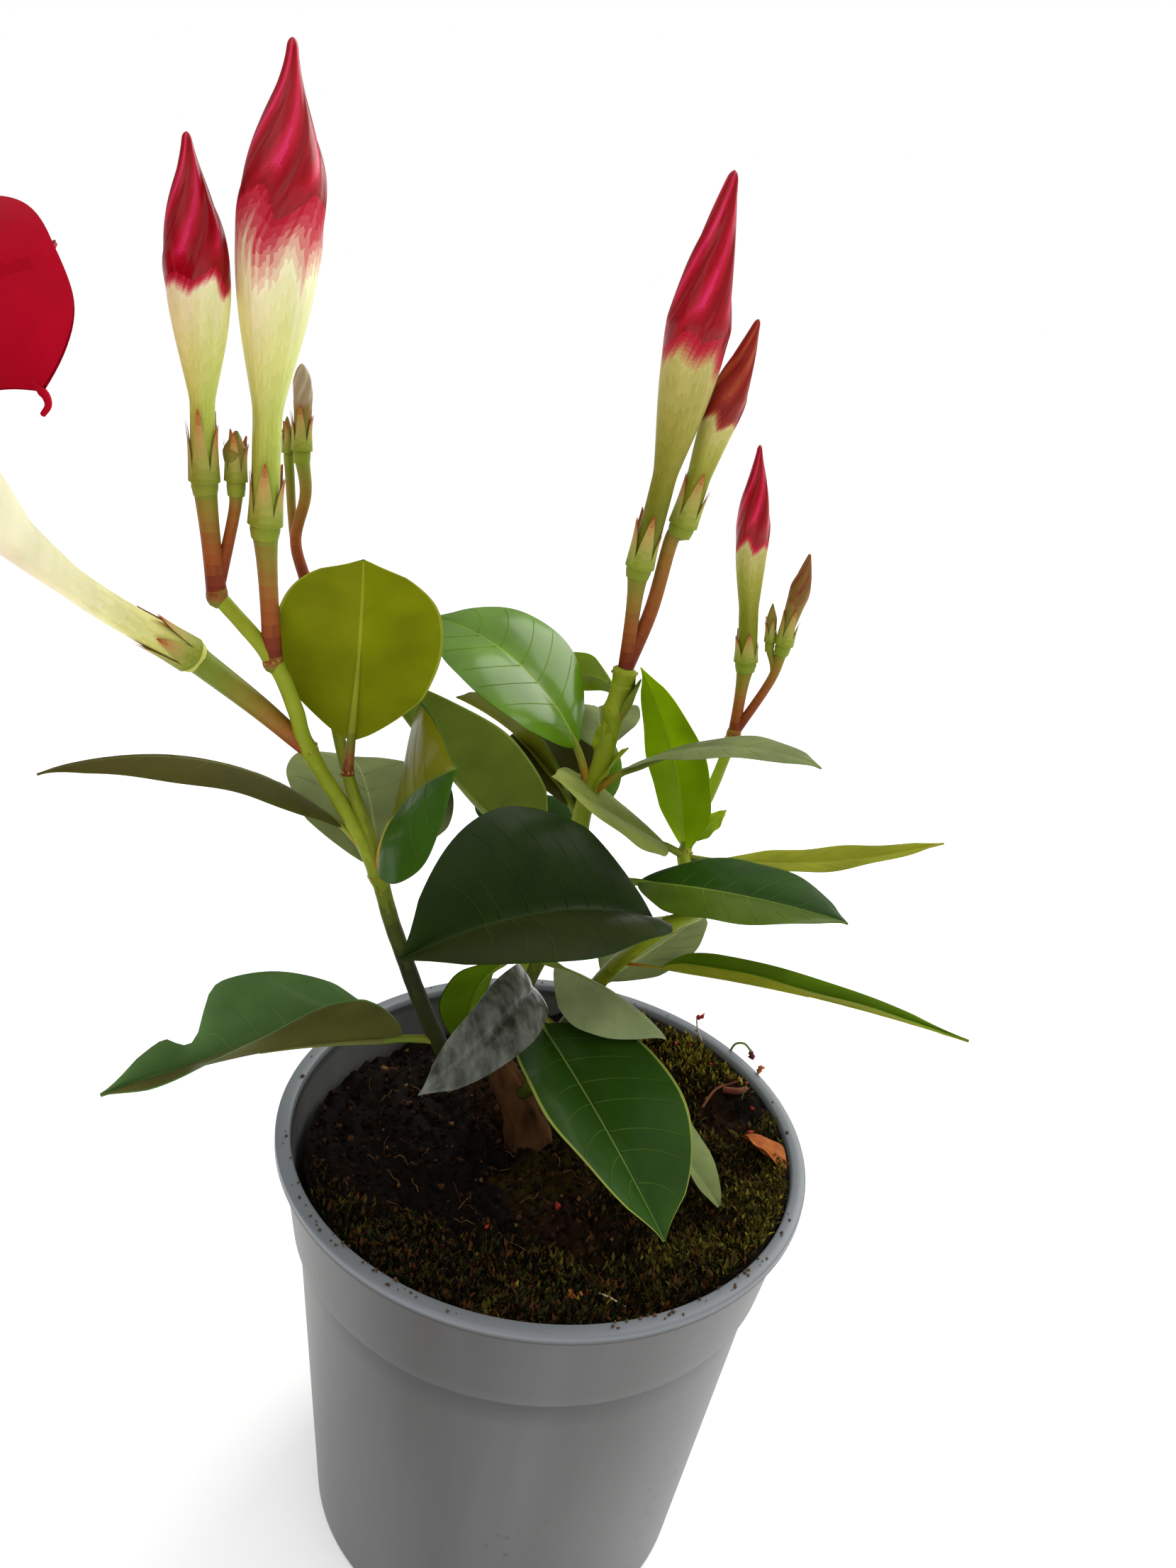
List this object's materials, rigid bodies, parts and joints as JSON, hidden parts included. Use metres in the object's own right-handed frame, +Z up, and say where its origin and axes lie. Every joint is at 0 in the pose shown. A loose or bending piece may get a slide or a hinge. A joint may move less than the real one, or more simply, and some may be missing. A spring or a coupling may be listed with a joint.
{
  "type": "potted dipladenia",
  "caption": "Young climbing plant in a round nursery pot, with leafy shoots, tall pointed buds and an open trumpet flower.",
  "frame": {"origin": "middle of the pot's flat underside", "axes": "+Z up along the pot's axis, +Y away from the plant's front, +X to the plant's right as seen from the front"},
  "size_m": [0.1929, 0.1562, 0.3122],
  "materials": {
    "pot_plastic": "matte",
    "soil": "matte",
    "bark": "matte",
    "stem": "satin",
    "leaf": "satin",
    "petal": "satin"
  },
  "bodies": {
    "root": {"pot": "pot_plastic", "soil": "soil", "trunk": "bark", "stem_left": "stem", "stem_middle": "stem", "stem_right": "stem", "foliage_left": "leaf", "foliage_middle": "leaf", "foliage_right": "leaf", "foliage_base": "leaf", "leaf_low_left": "leaf", "blooms_left": "petal", "blooms_middle": "petal", "blooms_right": "petal"}
  },
  "joints": []
}
